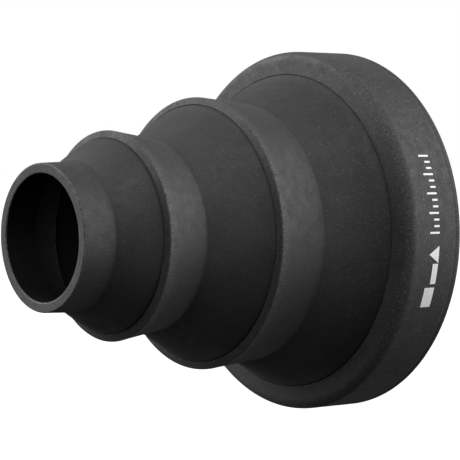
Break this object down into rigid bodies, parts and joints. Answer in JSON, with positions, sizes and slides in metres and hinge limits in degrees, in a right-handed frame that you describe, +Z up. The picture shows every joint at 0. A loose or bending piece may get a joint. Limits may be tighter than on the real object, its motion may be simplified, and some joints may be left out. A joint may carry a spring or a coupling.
{
  "type": "collapsible snoot",
  "caption": "Telescoping black silicone snoot: a push-on cup and coaxial stages on fold-through conical webs, narrowing to a round nozzle; each stage slides back into the one behind.",
  "frame": {"origin": "centre of the mounting cup's rear opening, where the flash head enters", "axes": "-Y along the light path towards the mouth, +Y out of the rear opening, +Z up, +X to the side that carries the printed index mark"},
  "size_m": [0.0981, 0.0989, 0.098],
  "materials": {
    "silicone": "matte moulded silicone with fine grain and dust specks",
    "web_silicone": "matte thin moulded silicone",
    "fold_silicone": "matte thin moulded silicone at the living hinges",
    "white_ink": "matte pad-printed ink"
  },
  "bodies": {
    "mount_cup": {"cup_wall": "silicone", "cup_shoulder": "silicone", "cup_rear_bead": "silicone", "cup_grip_ribs": "silicone", "cup_index_mark": "white_ink", "large_web_outer_fold": "fold_silicone", "large_web": "web_silicone"},
    "large_stage": {"large_web_inner_fold": "fold_silicone", "large_collar": "silicone", "large_lip": "silicone", "mid_web_outer_fold": "fold_silicone", "mid_web": "web_silicone"},
    "mid_stage": {"mid_web_inner_fold": "fold_silicone", "mid_collar": "silicone", "mid_lip": "silicone", "nozzle_web_outer_fold": "fold_silicone", "nozzle_web": "web_silicone"},
    "nozzle": {"nozzle_web_inner_fold": "fold_silicone", "nozzle_tube": "silicone", "mouth_lip": "silicone"}
  },
  "joints": [
    {"name": "large_stage_fold", "type": "slide", "parent": "mount_cup", "child": "large_stage", "axis": [0, 1, 0], "range_m": [0, 0.0324], "deforming": ["large_web"]},
    {"name": "mid_stage_fold", "type": "slide", "parent": "large_stage", "child": "mid_stage", "axis": [0, 1, 0], "range_m": [0, 0.0304], "deforming": ["mid_web"]},
    {"name": "nozzle_fold", "type": "slide", "parent": "mid_stage", "child": "nozzle", "axis": [0, 1, 0], "range_m": [0, 0.0204], "deforming": ["nozzle_web"]}
  ]
}
